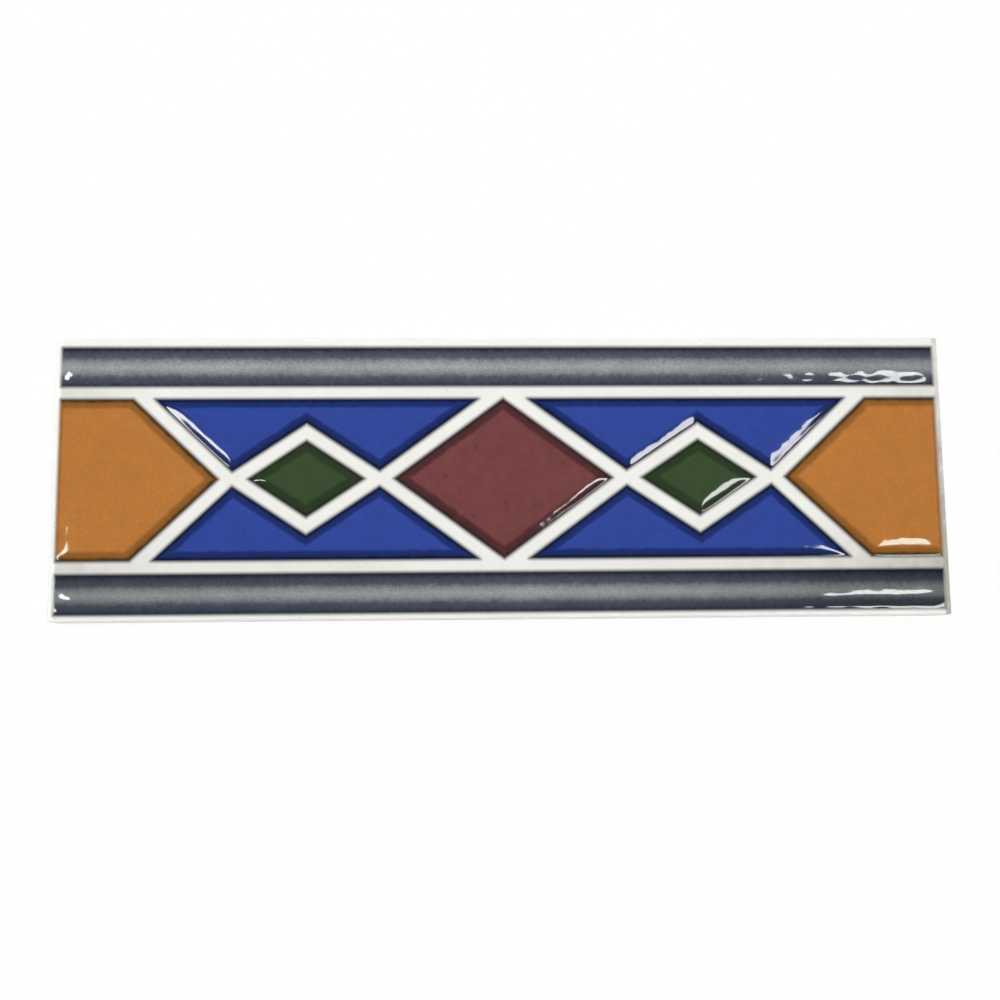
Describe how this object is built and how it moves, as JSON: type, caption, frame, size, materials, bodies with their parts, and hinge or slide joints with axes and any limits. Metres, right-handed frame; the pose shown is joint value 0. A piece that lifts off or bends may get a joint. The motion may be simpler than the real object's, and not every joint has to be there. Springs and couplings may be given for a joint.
{
  "type": "border tile",
  "caption": "Oblong glazed wall border tile with a raised geometric band of diamonds and pointed cells between two cambered rails, keyed on the back for adhesive.",
  "frame": {"origin": "centre of the back, on the plane of the key's ribs", "axes": "+X along the tile, +Y from the front long edge to the rear one, +Z out of the decorated face"},
  "size_m": [0.2, 0.0636, 0.0086],
  "materials": {
    "glazed_tile": "coloured gloss glazes on raised cells, with matt white lines between them"
  },
  "bodies": {
    "root": {"border_tile": "glazed_tile"}
  },
  "joints": []
}
